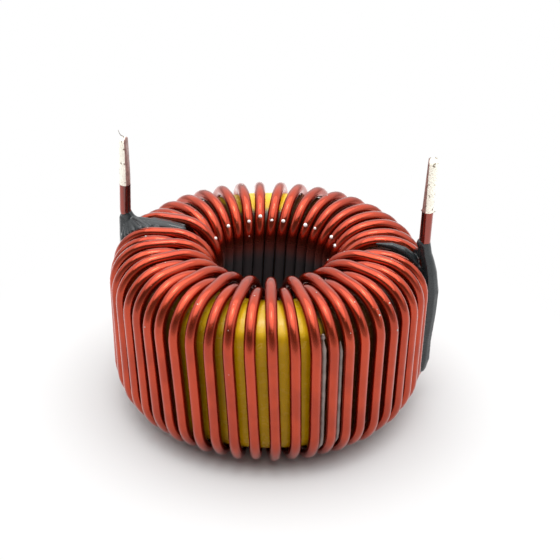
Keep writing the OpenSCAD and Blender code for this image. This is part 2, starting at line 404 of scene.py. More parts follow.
def path_object(name, points):
    """A mesh of edges from point to point"""
    return mesh_object(name, points, [(i, i + 1) for i in range(len(points) - 1)])


def give(obj, name, values):
    """Gives each point of the mesh a value under a name"""
    obj.data.attributes.new(name, "FLOAT", "POINT").data.foreach_set("value", values)


def smooth(obj):
    for polygon in obj.data.polygons:
        polygon.use_smooth = True


def finish_piece(obj, slot, *nodes):
    """Rides on the body and stands for the CAD nodes, which it hides; slot is not used"""
    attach(obj, BODY)
    if nodes:
        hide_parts(*nodes)


class Tree:
    """Short ways to add nodes to a tree and to link them"""

    def __init__(self, tree):
        self.tree = tree

    def feed(self, socket, given):
        """Links a socket to an output, or sets it to a plain value or a colour"""
        if isinstance(given, bpy.types.NodeSocket):
            self.tree.links.new(given, socket)
        elif isinstance(given, (bool, int, float, str)):
            socket.default_value = given
        else:
            socket.default_value = (*given, 1)

    def add(self, kind, settings=None, **inputs):
        """A new node with its settings; the inputs' names have _ for a space"""
        node = self.tree.nodes.new(kind)
        for name, value in (settings or {}).items():
            setattr(node, name, value)
        for name, given in inputs.items():
            self.feed(node.inputs[name.replace("_", " ")], given)
        return node

    def chain(self, *nodes):
        """Links each node's first output to the next one's first input"""
        for a, b in zip(nodes, nodes[1:]):
            self.tree.links.new(a.outputs[0], b.inputs[0])


# ---- finishes


class ShaderTree(Tree):
    """Short names for the nodes of a shader; each gives its output"""

    def math(self, operation, a, b=0.0):
        made = self.add("ShaderNodeMath", {"operation": operation})
        for socket, given in zip(made.inputs, (a, b)):
            self.feed(socket, given)
        return made.outputs[0]

    def times(self, a, b):
        return self.math("MULTIPLY", a, b)

    def most(self, a, b):
        return self.math("MAXIMUM", a, b)

    def step(self, given, low, high, to_low=0.0, to_high=1.0):
        """Maps low..high smoothly to the range between the last two values"""
        ends = {"From_Min": low, "From_Max": high, "To_Min": to_low, "To_Max": to_high}
        smoothly = {"interpolation_type": "SMOOTHSTEP"}
        return self.add("ShaderNodeMapRange", smoothly, Value=given, **ends).outputs["Result"]

    def mix(self, amount, a, b):
        """Two colours mixed, by the node's colour sockets 6 and 7"""
        made = self.add("ShaderNodeMix", {"data_type": "RGBA"})
        for socket, given in ((0, amount), (6, a), (7, b)):
            self.feed(made.inputs[socket], given)
        return made.outputs[2]

    def camera_ray(self):
        return self.add("ShaderNodeLightPath").outputs["Is Camera Ray"]

    def whiten(self, kind, surface, amount, output):
        """Mixes a surface with plain white of strength 1 and links it to the output node"""
        white = self.add(kind, Color=(1, 1, 1), Strength=1.0)
        made = self.add("ShaderNodeMixShader")
        for socket, given in zip(made.inputs, (amount, surface, white.outputs[0])):
            self.feed(socket, given)
        self.chain(made, self.tree.nodes[output])


class Shades(ShaderTree):
    """A material and short names for what its detail needs"""

    def __init__(self, name):
        self.material = bpy.data.materials.new(name)
        self.material.use_nodes = True
        super().__init__(self.material.node_tree)
        self.place = self.add("ShaderNodeTexCoord").outputs["Object"]
        self.x, self.y, self.z = self.add("ShaderNodeSeparateXYZ", Vector=self.place).outputs

    def done(self, **sockets):
        """Feeds the shader's sockets and gives the material"""
        shader = self.tree.nodes["Principled BSDF"]
        for name, given in sockets.items():
            self.feed(shader.inputs[name.replace("_", " ")], given)
        return self.material

    def noise(self, scale, detail=3.0, roughness=0.5):
        kinds = {"Scale": scale, "Detail": detail, "Roughness": roughness}
        return self.add("ShaderNodeTexNoise", Vector=self.place, **kinds).outputs["Fac"]

    def mottled(self, scale, low, high, dark, light):
        """Patches of one colour in another"""
        return self.mix(self.step(self.noise(scale), low, high), dark, light)

    def uneven(self, scale, low, high, detail=3.0):
        """A value that wanders between low and high"""
        return self.step(self.noise(scale, detail), 0.3, 0.7, low, high)

    def ragged(self, given, scale, detail, spread):
        """Moves a border to and fro by up to about half the spread"""
        wander = self.math("SUBTRACT", self.noise(scale, detail), 0.5)
        return self.math("ADD", given, self.times(wander, spread))

    def relief(self, scale, detail, depth, strength):
        """Normals of a fine unevenness"""
        height = self.noise(scale, detail)
        made = self.add("ShaderNodeBump", Strength=strength, Distance=depth, Height=height)
        return made.outputs["Normal"]

    def attribute(self, name):
        return self.add("ShaderNodeAttribute", {"attribute_name": name}).outputs["Fac"]

    def radius(self):
        """Distance from the axis of the coil"""
        squares = self.math("ADD", self.times(self.x, self.x), self.times(self.y, self.y))
        return self.math("SQRT", squares)

    def azimuth(self):
        """Azimuth from the front in degrees, -180 to 180"""
        return self.math("DEGREES", self.math("ARCTAN2", self.x, self.times(self.y, -1.0)))


def scaled(shade, by):
    """A colour made darker or lighter"""
    return tuple(x * by for x in shade)


# where the look of the wire changes: radius, height, or distance to the side; painted shade deep
# in the hole
HOLE_RADIUS = (8.4 * MM, 6.8 * MM)
HOLE_HEIGHT = (14.4 * MM, 10.2 * MM)
RIM_RADIUS = (9.5 * MM, 8.0 * MM)
SIDE_FROM = (6.0 * MM, 9.5 * MM)
# the same on the leads, which get painted shade: from their axis to the side, and up from the top
# of the coil
SHADE_ASIDE = (0.05 * MM, -0.32 * MM)
SHADE_ABOVE = (0.3 * MM, 0.8 * MM)
LEAD_SHADE_ABOVE = (0.1 * MM, 0.6 * MM)
INNER_SIDE_SHADE, LEAD_SHADE_SHARE = 0.72, 0.75


def enamelled_wire(c, lay):
    """Copper under a clear red-brown enamel, glossy where the dip has left varnish, with painted
    shade in the hole and on the leads
    """
    m = Shades("enamelled_wire")
    skin = m.mottled(350, 0.35, 0.65, c.enamel_deep, c.enamel)
    radius, aside = m.radius(), m.math("ABSOLUTE", m.x)
    # painted shade: dark, less metallic enamel deep in the hole
    hole_painted_shade = m.times(m.step(radius, *HOLE_RADIUS), m.step(m.z, *HOLE_HEIGHT))
    # painted shade: darker enamel on the leads' inner sides, towards the coil
    inner_side = m.step(aside, *(lay.lead + offset for offset in SHADE_ASIDE))
    inner_lead_shade = m.times(m.step(m.z, *(lay.top + rise for rise in SHADE_ABOVE)), inner_side)
    dark = m.most(hole_painted_shade, m.times(inner_lead_shade, INNER_SIDE_SHADE))
    # painted shade: the leads above the coil take the darker lead colour
    lead_shade = m.step(m.z, *(lay.top + rise for rise in LEAD_SHADE_ABOVE), 0.0, LEAD_SHADE_SHARE)
    skin = m.mix(lead_shade, skin, c.lead)
    glossy = m.most(m.step(aside, *SIDE_FROM), m.step(radius, *RIM_RADIUS))
    gloss = m.step(glossy, 0.0, 1.0, 0.19, 0.11)
    return m.done(
        Base_Color=m.mix(dark, skin, c.painted_shade),
        Metallic=m.step(hole_painted_shade, 0.3, 1.0, 0.9, 0.0),
        Roughness=m.math("ADD", gloss, m.uneven(1800, 0.0, 0.08, 2)),
        Specular_IOR_Level=0.3,
        Coat_Weight=m.step(hole_painted_shade, 0.3, 1.0, 0.48, 0.2),
        Coat_Roughness=m.step(glossy, 0.0, 1.0, 0.13, 0.04),
        Coat_IOR=1.5,
        Coat_Normal=m.relief(900, 2, 0.012 * MM, 0.4),
    )


# azimuths in degrees where the darker brown coat sets in, and from none to how much
DARKER_RIGHT = (25.0, 29.0)
DARKER_LEFT = (-20.0, -26.0, 0.0, 0.9)
DARKER_MIDDLE = (-3.0, -7.0, 0.0, 0.45)
DARKER_BACK = (150.0, 140.0)
DARKER_TOP = (20.0, 40.0)
BARE_BACK = ((-155.0, -158.0, 0.0, 0.6), (-143.0, -147.0, 0.0, 0.4))
# radii and heights between which the top, its bare part and the upper edge begin; the upper edge's
# lighter coat is a painted highlight
TOP_RADIUS = (12.8 * MM, 12.0 * MM)
BARE_RADIUS = (8.0 * MM, 8.6 * MM)
EDGE_HIGHLIGHT_HEIGHT = (13.3 * MM, 14.1 * MM, 0.0, 0.8)
SHINE_HEIGHT = (12.4 * MM, 13.2 * MM, 0.1, 0.36)
BORDER_SPREAD = 14.0


def core_coating(c):
    """Yellow powder coat, satin, darker brown on the sides and over the top, with a painted
    highlight on its upper edge
    """
    m = Shades("core_coating")
    coat = m.mottled(500, 0.35, 0.65, scaled(c.coating, 0.88), c.coating)
    azimuth = m.ragged(m.azimuth(), 260, 2, BORDER_SPREAD)
    away = m.math("ABSOLUTE", azimuth)
    front = m.most(m.step(azimuth, *DARKER_LEFT), m.step(azimuth, *DARKER_MIDDLE))
    front = m.most(m.step(azimuth, *DARKER_RIGHT), front)
    wall = m.times(front, m.step(away, *DARKER_BACK))
    bare = m.math("ADD", *(m.step(azimuth, *border) for border in BARE_BACK))
    bare = m.times(bare, m.step(m.radius(), *BARE_RADIUS))
    # the upper edge is painted lighter as a highlight; the bare places at the back show the clean
    # coat
    coat = m.mix(m.most(bare, m.step(m.z, *EDGE_HIGHLIGHT_HEIGHT)), coat, c.clean_and_highlit)
    top = m.times(m.step(m.radius(), *TOP_RADIUS), m.step(away, *DARKER_TOP))
    top = m.times(top, m.math("SUBTRACT", 1.0, bare))
    return m.done(
        Base_Color=m.mix(m.most(wall, top), coat, c.darker_coat),
        Specular_IOR_Level=m.step(m.z, *SHINE_HEIGHT),
        Roughness=m.uneven(1500, 0.20, 0.30, 2),
        Normal=m.relief(2600, 2, 0.02 * MM, 0.5),
    )


def sleeving(c):
    """Black shrunk sleeving and the glue it is stuck with, rippled"""
    m = Shades("sleeving")
    return m.done(
        Base_Color=m.mottled(600, 0.4, 0.75, c.sleeving, scaled(c.sleeving, 1.9)),
        Roughness=m.uneven(1200, 0.14, 0.36),
        Normal=m.relief(1500, 3, 0.03 * MM, 0.6),
    )


def tinning(c):
    """Cream dipped tin, pitted, beside a brown-pink strip on the coil's side"""
    m = Shades("tinning")
    cream = m.mottled(700, 0.4, 0.6, scaled(c.tin, 0.92), c.tin)
    clean = m.step(m.noise(2200, 3, 0.6), 0.35, 0.41)
    clean = m.times(clean, m.math("SUBTRACT", 1.0, m.attribute("burnt")))
    # the brown-pink strip on the coil's side: its tone, and below, where it lies
    copper = m.mottled(2400, 0.35, 0.65, scaled(c.scraped, 0.7), c.scraped)
    bare = m.step(m.ragged(m.attribute("scraped"), 1800, 3, 0.4), 0.47, 0.53)
    return m.done(
        Base_Color=m.mix(bare, m.mix(clean, c.flux, cream), copper),
        Metallic=0.12,
        Roughness=m.uneven(1500, 0.38, 0.6),
        Normal=m.relief(2500, 3, 0.05 * MM, 0.7),
    )


def clear_varnish(name, shade, coat=1.0, dull=0.55):
    """Varnish in beads and runs, or burnt flux, in the given shade; near-white, it makes the drops
    that are painted highlights
    """
    m = Shades(name)
    return m.done(
        Base_Color=m.mottled(800, 0.35, 0.7, scaled(shade, dull), shade),
        Roughness=m.uneven(900, 0.05, 0.16),
        Coat_Weight=coat,
        Coat_Roughness=0.03,
    )


# ---- geometry trees


class GeometryTree(Tree):
    """A tree from Geometry to Geometry that also takes the named inputs and a material"""

    def __init__(self, name, **inputs):
        super().__init__(bpy.data.node_groups.new(name, "GeometryNodeTree"))
        sockets = self.tree.interface
        for label, kind in (("Geometry", "Geometry"), *inputs.items(), ("Material", "Material")):
            sockets.new_socket(label, in_out="INPUT", socket_type=f"NodeSocket{kind}")
        sockets.new_socket("Geometry", in_out="OUTPUT", socket_type="NodeSocketGeometry")
        self.given = self.add("NodeGroupInput")

    def circle(self, sides):
        """A curve with the given radius"""
        sides, radius = self.given.outputs[sides], self.given.outputs["Radius"]
        made = self.add("GeometryNodeCurvePrimitiveCircle", Resolution=sides, Radius=radius)
        return made.outputs["Curve"]

    def half_width(self):
        """The width that each point of the mesh was given"""
        kind = {"data_type": "FLOAT"}
        named = self.add("GeometryNodeInputNamedAttribute", kind, Name="half_width")
        return named.outputs["Attribute"]

    def end(self, last):
        """Shade, realize, set the material and go out"""
        shade = self.add("GeometryNodeSetShadeSmooth", Shade_Smooth=True)
        realize = self.add("GeometryNodeRealizeInstances")
        dress = self.add("GeometryNodeSetMaterial", Material=self.given.outputs["Material"])
        self.chain(last, shade, realize, dress, self.add("NodeGroupOutput"))
        return self.tree


def strand_tree(name, *, tapered):
    """Sweeps a wire along edges; if tapered, as thick at each point as its half_width says"""
    g = GeometryTree(name, Radius="Float", Sides="Int")
    sweep = g.add("GeometryNodeCurveToMesh", Profile_Curve=g.circle("Sides"), Fill_Caps=True)
    if tapered:
        g.feed(sweep.inputs["Scale"], g.half_width())
    g.chain(g.given, g.add("GeometryNodeMeshToCurve"), sweep)
    return g.end(sweep)


def bead_tree():
    """Puts a small rounded bead at each point, as large as its half_width says"""
    g = GeometryTree("Varnish beads", Detail="Int")
    detail = g.given.outputs["Detail"]
    bead = g.add("GeometryNodeMeshIcoSphere", Radius=1.0, Subdivisions=detail).outputs["Mesh"]
    place = g.add("GeometryNodeInstanceOnPoints", Instance=bead, Scale=g.half_width())
    g.chain(g.given, g.add("GeometryNodeMeshToPoints"), place)
    return g.end(place)


def revolve_tree():
    """Revolves a closed section, given as a mesh of edges, round the Z axis"""
    g = GeometryTree("Core revolve", Radius="Float", Steps="Int")
    section = g.add("GeometryNodeMeshToCurve")
    g.chain(g.given, section)
    curves = {"Curve": g.circle("Steps"), "Profile_Curve": section.outputs["Curve"]}
    return g.end(g.add("GeometryNodeCurveToMesh", **curves))


def grown(obj, name, tree, material, **inputs):
    """The plain mesh that a tree makes of an object; its inputs are set by identifier"""
    modifier = obj.modifiers.new(tree.name, "NODES")
    modifier.node_group = tree
    values = {"Material": material, **inputs}
    for socket in tree.interface.items_tree:
        if socket.in_out == "INPUT" and socket.name in values:
            modifier[socket.identifier] = values.pop(socket.name)
    if values:
        raise KeyError(f"{tree.name} has no input {', '.join(values)}")
    return baked(obj, name)


def strand(obj, widths, material, sides):
    """A strand along the edges of obj, with the given half widths at its points"""
    give(obj, "half_width", widths)
    tree = strand_tree(f"{obj.name} sweep", tapered=True)
    return grown(obj, obj.name, tree, material, Radius=1.0, Sides=sides)


def outwards(obj):
    """Recalculates the faces of a closed mesh to point outwards"""
    mesh = bmesh.new()
    mesh.from_mesh(obj.data)
    bmesh.ops.remove_doubles(mesh, verts=mesh.verts, dist=TINY)
    bmesh.ops.recalc_face_normals(mesh, faces=mesh.faces)
    mesh.to_mesh(obj.data)
    mesh.free()


# ---- pieces


class INDUCTOR_OT_winding(bpy.types.Operator):
    """Make the wire: both passes round the core and both leads, in one sweep"""

    bl_idname = "inductor.winding"
    bl_label = "Winding"

    def execute(self, context):
        s = context.scene.inductor_winding
        lay = Lay(s)
        route = path_object("wire_route", rounded(lay.route(), s.bend_steps))
        material = enamelled_wire(context.scene.inductor_finish, lay)
        tree = strand_tree("Wire sweep", tapered=False)
        sizes = {"Radius": s.wire_d / 2, "Sides": s.sides}
        wire = grown(route, "winding_wire", tree, material, **sizes)
        finish_piece(wire, "enamelled_wire", "winding")
        return {"FINISHED"}


class INDUCTOR_OT_core(bpy.types.Operator):
    """Make the coated core: its rounded section, revolved"""

    bl_idname = "inductor.core"
    bl_label = "Core"

    SECTION_STEPS = 8
    STEPS = 192

    def execute(self, context):
        s = context.scene.inductor_winding
        outer, inner = CORE_HIGH.x, s.bore_d / 2
        mid_z = (CORE_LOW.z + CORE_HIGH.z) / 2
        x, y = (outer - inner) / 2, CORE_HIGH.z - mid_z
        around = [(x, -y), (x, y), (-x, y), (-x, -y), (x, -y), (x, y)]
        corners = [(Vector((*corner, 0)), s.edge) for corner in around]
        points = rounded(corners, self.SECTION_STEPS)[1:-1]
        count = len(points)
        section = mesh_object("core_section", points, [(i, (i + 1) % count) for i in range(count)])
        material = core_coating(context.scene.inductor_finish)
        sizes = {"Radius": (outer + inner) / 2, "Steps": self.STEPS}
        core = grown(section, "coated_core", revolve_tree(), material, **sizes)
        core.data.transform(Matrix.Translation((0, 0, mid_z)))
        outwards(core)
        finish_piece(core, "core_coating", "core")
        return {"FINISHED"}


class INDUCTOR_OT_varnish(bpy.types.Operator):
    """Make the varnish: runs between the turns of the wall, near-white drops as painted
    highlights, and beads
    """

    bl_idname = "inductor.varnish"
    bl_label = "Varnish"

    LEVELS = 24
    SIDES = 10
    WALL_STEPS, DROP_STEPS, BEAD_STEPS = 12, 16, 8
    # azimuth between two turns, foot, head and half width of each greyish run
    RUNS = (
        (math.radians(29.1), 2.2 * MM, 13.7 * MM, 0.21 * MM),
        (math.radians(35.1), 2.6 * MM, 13.2 * MM, 0.18 * MM),
    )
    RUN_ACROSS = 0.46  # share of the way from one turn to the next
    RUN_END, RUN_GROWS = 0.3, 0.35  # width at an end, and more of it at each level
    RUN_PLAY = (0.88, 1.08)
    RUN_BEAD = 0.22 * MM
    UPPER_BEAD = 0.7  # as a share of the one under it
    DROPS_FROM = math.radians(75)
    DROP_R = (0.14 * MM, 0.22 * MM)
    DROP_SHARE = 0.8
    DROP_BEND = (0.56, 0.70)
    # how much of its radius a drop or a bead is sunk in the wire
    DROP_SUNK, BEAD_SUNK = 0.4, 0.2
    BEAD_LOW = 0.62  # share of the height of the top
    # the least part of bead_r that a bead is large, and the most that is added
    BEAD_SIZE, BEAD_MORE = 0.35, 0.4
    # beads lean out on the top's outer part and in on its inner part
    BEAD_OUTER = 10 * MM
    BEAD_OUT, BEAD_IN = 0.4, -0.3

    def execute(self, context):
        c = context.scene.inductor_finish
        lay = Lay(context.scene.inductor_winding)
        rng = random.Random(c.seed)
        route = lay.route()
        passes = [
            (lay.front_azimuth(k + 1), self.wall_line(lay, route, k)) for k in range(lay.turns - 1)
        ]
        passes.sort(key=lambda item: item[0])
        self.runs(rng, passes, clear_varnish("grey_varnish", c.run, 0.3))
        # painted highlights: near-white drops at the bends into the hole
        self.drops(rng, lay, clear_varnish("bright_varnish", c.glint, 1.0, 0.9))
        self.beads(c, rng, lay, clear_varnish("clear_varnish", c.clear))
        return {"FINISHED"}

    def scatter(self, name, points, widths, material):
        bead = mesh_object(name, points)
        give(bead, "half_width", widths)
        finish_piece(grown(bead, name, bead_tree(), material, Detail=2), "enamelled_wire")

    def wall_line(self, lay, route, k):
        """The pass up the wall after turn k, from its foot to its top"""
        i = lay.corner_at(k, 3)
        return rounded(route[i - 1 : i + 3], self.WALL_STEPS)[1:-1]

    def levels(self, line, low, high):
        """Points of a pass at even heights"""
        places = (on_path(line, z) for z in even(self.LEVELS + 1, low, high))
        return [place for place in places if place is not None]

    def runs(self, rng, passes, material):
        """Greyish varnish down two gaps in front, from a bead at the first one's head"""
        points, edges, widths, heads = [], [], [], []
        for azimuth, low, high, width in self.RUNS:
            one = [line for at, line in passes if at < azimuth][-1]
            two = [line for at, line in passes if at > azimuth][0]
            pairs = list(zip(self.levels(one, low, high), self.levels(two, low, high)))
            for j, (a, b) in enumerate(pairs):
                if j:
                    edges.append((len(points) - 1, len(points)))
                from_end = min(j, len(pairs) - 1 - j)
                taper = min(1.0, self.RUN_END + self.RUN_GROWS * from_end)
                points.append(a.lerp(b, self.RUN_ACROSS))
                widths.append(width * taper * rng.uniform(*self.RUN_PLAY))
            heads.append(points[-1])
        runs = mesh_object("varnish_runs", points, edges)
        finish_piece(strand(runs, widths, material, self.SIDES), "enamelled_wire")
        places = [heads[0], heads[0] + Vector((0, 0, self.RUN_BEAD))]
        sizes = [self.RUN_BEAD, self.UPPER_BEAD * self.RUN_BEAD]
        self.scatter("varnish_head", places, sizes, material)

    def drops(self, rng, lay, material):
        """Near-white drops, painted highlights, where the turns at the back and the sides bend
        into the hole
        """
        route = lay.route()
        points, widths = [], []
        for k in range(lay.turns):
            if abs(lay.front_azimuth(k)) < self.DROPS_FROM or rng.random() > self.DROP_SHARE:
                continue
            turn = route[lay.corner_at(k, 0) : lay.corner_at(k, 2) + 1]
            bend = rounded(turn, self.DROP_STEPS)
            i = 1 + round(rng.uniform(*self.DROP_BEND) * (len(bend) - 3))
            out = square(bend[i - 1], bend[i + 1], Vector((0, 0, 1)) - outward(bend[i]))
            size = rng.uniform(*self.DROP_R)
            points.append(bend[i] + out * (lay.s.wire_d / 2 - self.DROP_SUNK * size))
            widths.append(size)
        self.scatter("varnish_drops", points, widths, material)

    def beads(self, c, rng, lay, material):
        """Beads on the crest of the turns, at random places of the top and the wall"""
        route = rounded(lay.route(), self.BEAD_STEPS)
        reach = lay.wall + lay.s.wire_d / 2
        points, widths = [], []
        while len(points) < c.bead_count:
            i = rng.randrange(1, len(route) - 2)
            t = rng.random()
            size = c.bead_r * (self.BEAD_SIZE + self.BEAD_MORE * rng.random() ** 2)
            p = route[i].lerp(route[i + 1], t)
            if not self.BEAD_LOW * lay.top <= p.z <= lay.top or p.xy.length > reach:
                continue
            tilt = self.BEAD_OUT if p.xy.length > self.BEAD_OUTER else self.BEAD_IN
            out = square(route[i], route[i + 1], outward(p) * tilt + Vector((0, 0, 1)))
            points.append(p + out * (lay.s.wire_d / 2 - self.BEAD_SUNK * size))
            widths.append(size)
        self.scatter("varnish_beads", points, widths, material)


BALL_STEP = 0.3  # from one ball to the next, as a share of their radius


def blob(mesh, points, radii):
    """Adds rounded bodies from point to point, to be fused by a voxel remesh"""
    if not isinstance(radii, (tuple, list)):
        radii = [radii] * len(points)
    for a, b, ra, rb in zip(points, points[1:], radii, radii[1:]):
        steps = max(1, math.ceil((b - a).length / (BALL_STEP * min(ra, rb))))
        for j in range(steps + 1):
            t = j / steps
            place = Matrix.Translation(a.lerp(b, t))
            radius = ra + (rb - ra) * t
            bmesh.ops.create_icosphere(mesh, subdivisions=2, radius=radius, matrix=place)


def fused(name, mesh, voxel, rounds):
    """One smooth skin round all that the mesh holds"""
    data = bpy.data.meshes.new(name)
    mesh.to_mesh(data)
    mesh.free()
    obj = placed(name, data)
    remesh = obj.modifiers.new("Fuse", "REMESH")
    remesh.mode = "VOXEL"
    remesh.voxel_size = voxel
    soften = obj.modifiers.new("Soften", "SMOOTH")
    soften.factor = 0.5
    soften.iterations = rounds
    made = baked(obj, name)
    smooth(made)
    return made


class INDUCTOR_OT_sleeving(bpy.types.Operator):
    """Make the black sleeving at the foot of each lead, with its glue"""

    bl_idname = "inductor.sleeving"
    bl_label = "Sleeving"

    LEAD_R = 0.56 * MM
    SKIN_R = 0.65 * MM
    GLUE_R = 0.4 * MM
    VOXEL = 0.06 * MM
    ROUNDS = 5
    BEND_STEPS, NEAR_STEPS = 4, 6
    # how far each collar rises over the top, on the outside and by INNER towards the coil
    RISES = {"left": (-0.35 * MM, 1.0 * MM), "right": (-0.15 * MM, 0.7 * MM)}
    INNER = 0.16 * MM
    DROP = 4.0 * MM
    DROP_OUT = 0.15 * MM
    WEB = 1.5 * MM
    # how near to the lead the glue's root leaves the top run, and how far it reaches
    WEB_EDGE = 0.8 * MM
    WEB_REACH = 0.72
    SKIN_ENDS = (9.4 * MM, 8.1 * MM)
    FOOT = 3.6 * MM
    FOOT_LEVELS = 15
    CROTCH = 2.2 * MM
    # in mm: distance from the axis, share of the way to the next wire, drop, and radius
    LEFT_STRIP = (
        (12.6, 0.3, 0.45, 0.42),
        (11.0, 0.38, 0.0, 0.46),
        (9.6, 0.42, 0.0, 0.36),
        (8.1, 0.45, 0.0, 0.13),
    )
    RIGHT_STRIP = (
        (13.4, 0.4, 1.75, 0.5),
        (12.7, 0.36, 1.0, 0.48),
        (11.9, 0.32, 0.4, 0.44),
        (10.8, 0.27, 0.05, 0.34),
        (9.5, 0.22, 0.0, 0.13),
    )
    # in mm: height, radius and shift outwards of the sleeving down the right lead
    RIGHT_BODY = (
        (3.6, 0.72, 0.0),
        (4.6, 0.86, 0.04),
        (6.5, 0.86, -0.06),
        (9.5, 0.84, 0.04),
        (11.6, 0.92, 0.18),
        (13.4, 0.78, 0.26),
        (14.4, 0.68, 0.2),
        (15.3, 0.6, 0.08),
    )

    def execute(self, context):
        scene = context.scene
        lay = Lay(scene.inductor_winding)
        material = sleeving(scene.inductor_finish)
        for side, build in (("left", self.left), ("right", self.right)):
            mesh = bmesh.new()
            build(mesh, lay, lay.route())
            sleeve = fused(f"sleeving_{side}", mesh, self.VOXEL, self.ROUNDS)
            sleeve.data.materials.append(material)
            finish_piece(sleeve, "sleeving", f"sleeve_{side}")
        return {"FINISHED"}

    def collar(self, mesh, lay, side, foot):
        """The upper end on the lead, higher on the side towards the coil"""
        rise, inner_rise = self.RISES[side]
        top = lay.lead_point(side, lay.top + rise - self.LEAD_R)
        blob(mesh, [top, foot], self.LEAD_R)
        inward = -outward(top) * self.INNER
        tall = lay.lead_point(side, lay.top + inner_rise - self.GLUE_R)
        blob(mesh, [tall + inward, foot + inward], [self.GLUE_R, self.LEAD_R])

    def strip(self, mesh, run, beside, stations):
        """Glue that lies between two top runs and thins out towards the hole"""
        places = []
        for radius, share, drop, _ in stations:
            place = at_radius(*run, radius * MM).lerp(at_radius(*beside, radius * MM), share)
            places.append(place - Vector((0, 0, drop * MM)))
        blob(mesh, places, [station[3] * MM for station in stations])
        return places

    def left(self, mesh, lay, route):
        """Round the lead's bend, along its top run, and webs to the wire in front"""
        wall = lay.corner_at(lay.lower - 1, 3)
        near = lay.corner_at(lay.lower + 1, 0)
        run, behind = run_from(route, 1), run_from(route, wall + 1)
        bend = rounded(route[0:3], self.BEND_STEPS)[1:-1]
        drop = polar(lay.lead + self.DROP_OUT, lay.leads["left"], lay.top - self.DROP)
        head = polar(lay.lead, lay.leads["left"], bend[2].z)
        self.collar(mesh, lay, "left", head)
        blob(mesh, [head, drop], self.LEAD_R)
        blob(mesh, bend[1:], self.LEAD_R)
        skin = [bend[-1], *(at_radius(*run, radius) for radius in self.SKIN_ENDS)]
        blob(mesh, skin, [self.SKIN_R, self.SKIN_R, self.GLUE_R])
        places = self.strip(mesh, run, behind, self.LEFT_STRIP)
        blob(mesh, [bend[2], places[0]], self.LEAD_R)
        for place in rounded(route[near - 1 : near + 2], self.NEAR_STEPS)[1:-1]:
            if place.z < drop.z:
                continue
            if place.xy.length < lay.lead - self.WEB_EDGE:
                root = at_radius(*run, place.xy.length)
            else:
                root = Vector((drop.x, drop.y, min(place.z, head.z)))
            blob(mesh, [root, root.lerp(place, self.WEB_REACH)], self.GLUE_R)
            if place.z > drop.z + self.WEB:
                blob(mesh, [bend[2], bend[2].lerp(place, self.WEB_REACH)], self.GLUE_R)

    def right(self, mesh, lay, route):
        """Down the lead on the wall, over to the strip on top, and to the wire beside it"""
        wall = lay.corner_at(lay.s.front_turns - 1, 3)
        front = lay.corner_at(lay.s.front_turns - 1, 0)
        foot = lay.corner_at(lay.turns - 1, 3)
        climb = rounded(route[foot : foot + 4], self.BEND_STEPS)[1:-1]
        lead_foot = at_height(*run_from(route, foot), self.FOOT)
        side_foot = at_height(*run_from(route, wall), self.FOOT)
        side = rounded(route[wall : wall + 3], self.BEND_STEPS)[1:-1]
        behind, beside = run_from(route, wall + 1), run_from(route, front)
        self.collar(mesh, lay, "right", climb[-1])
        path = [lead_foot, *climb]
        body = []
        out = outward(climb[-1]) * MM
        for z, radius, shift in self.RIGHT_BODY:
            place = on_path(path, z * MM)
            if place is not None:
                body.append((place + out * shift, radius * MM))
        body.append((climb[-1], self.LEAD_R))
        blob(mesh, [p for p, _ in body], [radius for _, radius in body])
        places = self.strip(mesh, behind, beside, self.RIGHT_STRIP)
        crotch = lay.lead_point("right", lay.top - self.CROTCH)
        blob(mesh, [crotch, places[0]], self.LEAD_R)
        for t in even(self.FOOT_LEVELS, 0.0, 1.0):
            blob(mesh, [side_foot.lerp(side[0], t), lead_foot.lerp(climb[0], t)], self.GLUE_R)
        for a, b in zip(side[:3], climb[-len(side) :]):
            blob(mesh, [a, b], self.GLUE_R)


